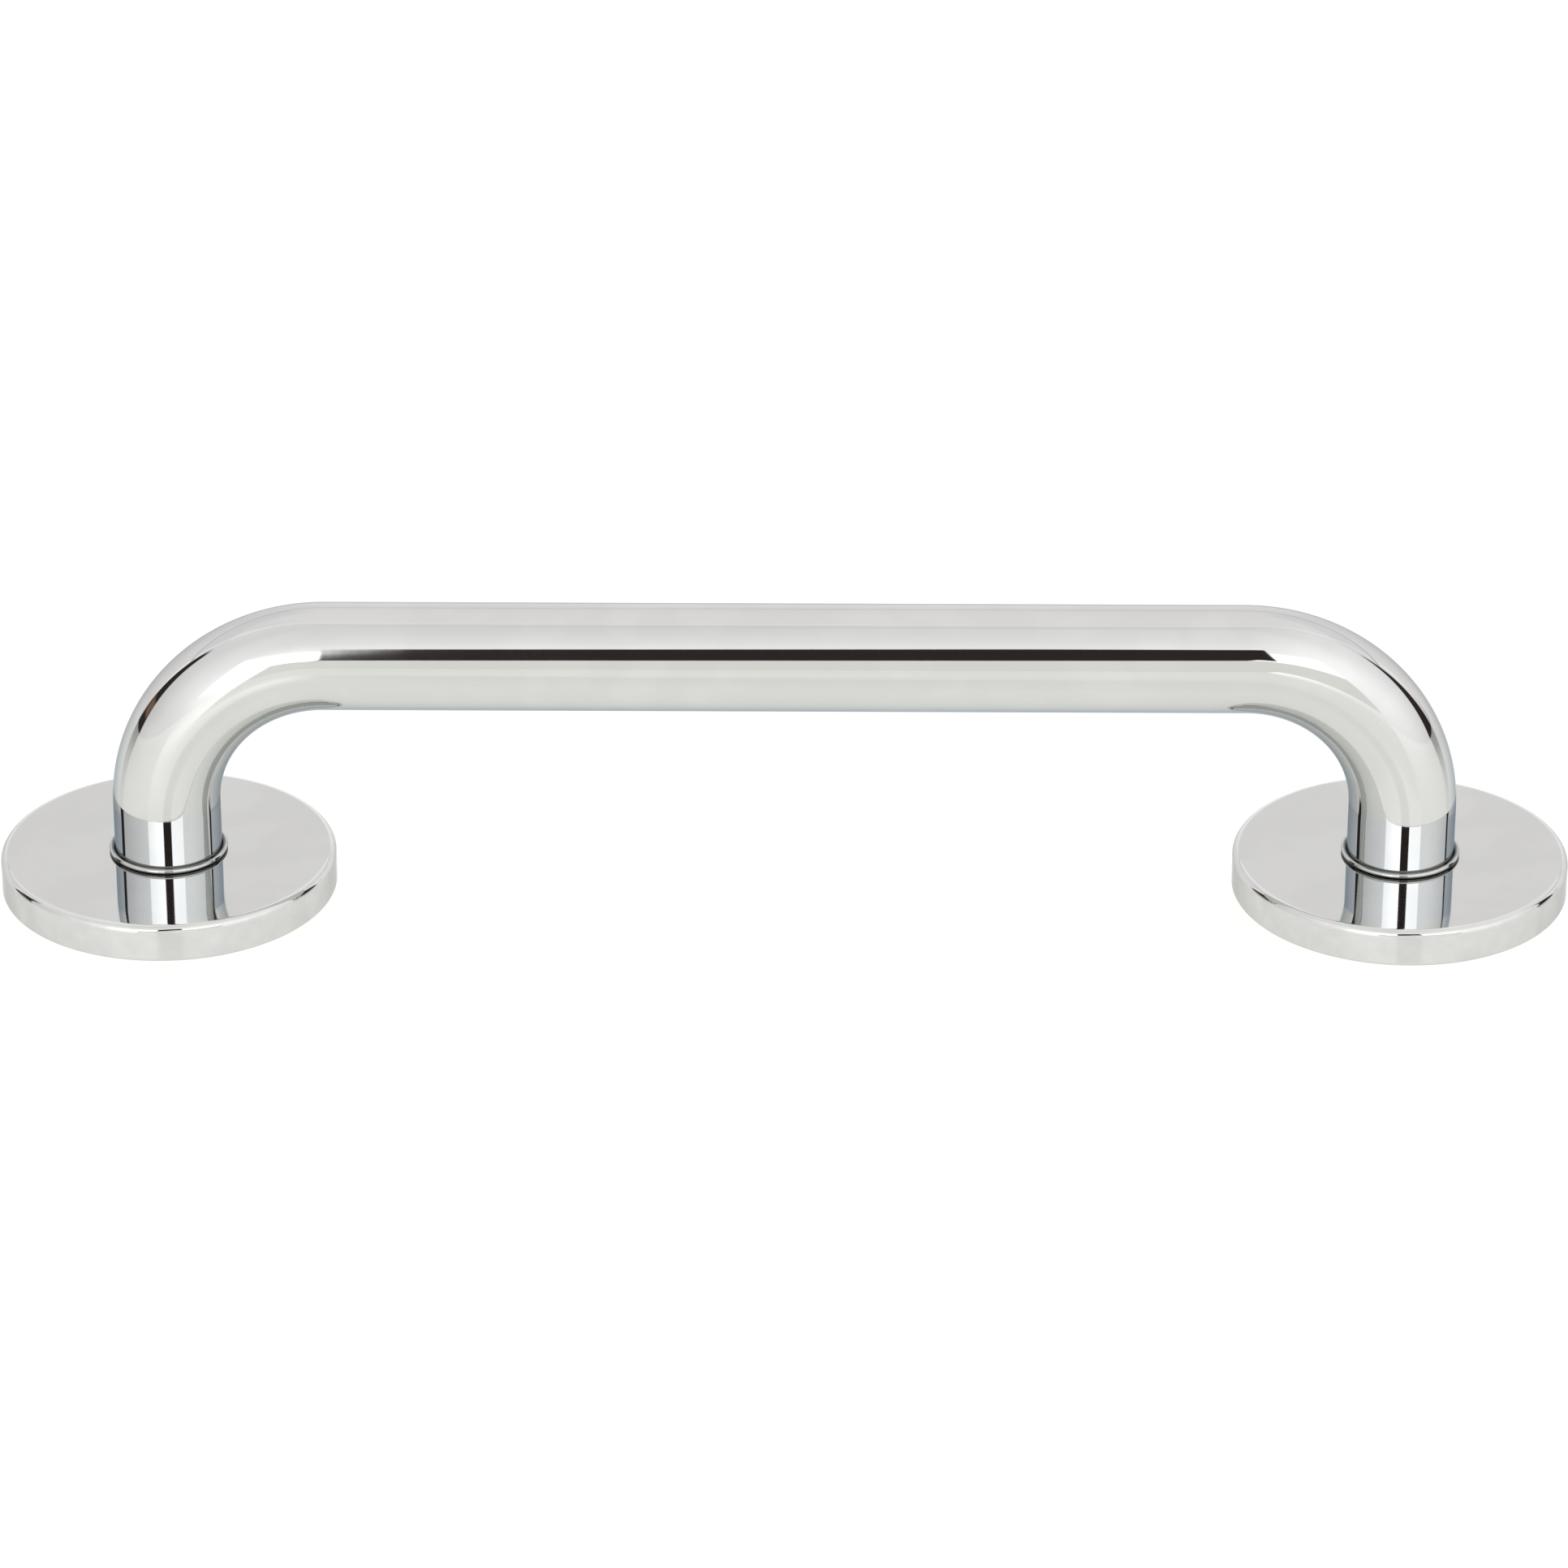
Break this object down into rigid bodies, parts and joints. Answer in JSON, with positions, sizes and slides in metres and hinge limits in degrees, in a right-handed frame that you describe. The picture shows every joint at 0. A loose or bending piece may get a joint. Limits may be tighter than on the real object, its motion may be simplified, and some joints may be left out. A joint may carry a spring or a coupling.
{
  "type": "grab rail",
  "caption": "Bent round-tube grab rail, mirror polished, standing on round flanges whose covers slide up the legs to reach hidden screws.",
  "frame": {"origin": "on the deck plane, midway between the legs", "axes": "+X along the bar, +Z away from the deck towards the bar"},
  "size_m": [0.3714, 0.0794, 0.1016],
  "materials": {
    "polished_rail": "mirror polished",
    "polished_cover": "mirror polished, faintly satin on the flat top",
    "polished_collar": "mirror polished",
    "turned_plate": "lathe turned",
    "fastener_steel": "plain stainless",
    "brass_plug": "machined",
    "o_ring_rubber": "smooth",
    "gasket_rubber": "closed-cell foam, matt"
  },
  "bodies": {
    "rail": {"rail_tube": "polished_rail", "left_end_plug": "brass_plug", "left_mounting_plate": "turned_plate", "left_plate_bolt": "fastener_steel", "left_cover_o_ring": "o_ring_rubber", "left_base_gasket": "gasket_rubber", "left_deck_screw_1": "fastener_steel", "left_deck_screw_2": "fastener_steel", "left_deck_screw_3": "fastener_steel", "right_end_plug": "brass_plug", "right_mounting_plate": "turned_plate", "right_plate_bolt": "fastener_steel", "right_cover_o_ring": "o_ring_rubber", "right_base_gasket": "gasket_rubber", "right_deck_screw_1": "fastener_steel", "right_deck_screw_2": "fastener_steel", "right_deck_screw_3": "fastener_steel"},
    "left_collar": {"left_collar_ring": "polished_collar"},
    "left_cover": {"left_flange_cover": "polished_cover"},
    "right_collar": {"right_collar_ring": "polished_collar"},
    "right_cover": {"right_flange_cover": "polished_cover"}
  },
  "joints": [
    {"name": "left_cover_lift", "type": "slide", "parent": "rail", "child": "left_collar", "axis": [0, 0, 1], "range_m": [0, 0.011]},
    {"name": "left_cover_spin", "type": "hinge", "parent": "left_collar", "child": "left_cover", "pos_m": [-0.146, 0, 0], "axis": [0, 0, 1], "continuous": true},
    {"name": "right_cover_lift", "type": "slide", "parent": "rail", "child": "right_collar", "axis": [0, 0, 1], "range_m": [0, 0.011]},
    {"name": "right_cover_spin", "type": "hinge", "parent": "right_collar", "child": "right_cover", "pos_m": [0.146, 0, 0], "axis": [0, 0, 1], "continuous": true}
  ]
}
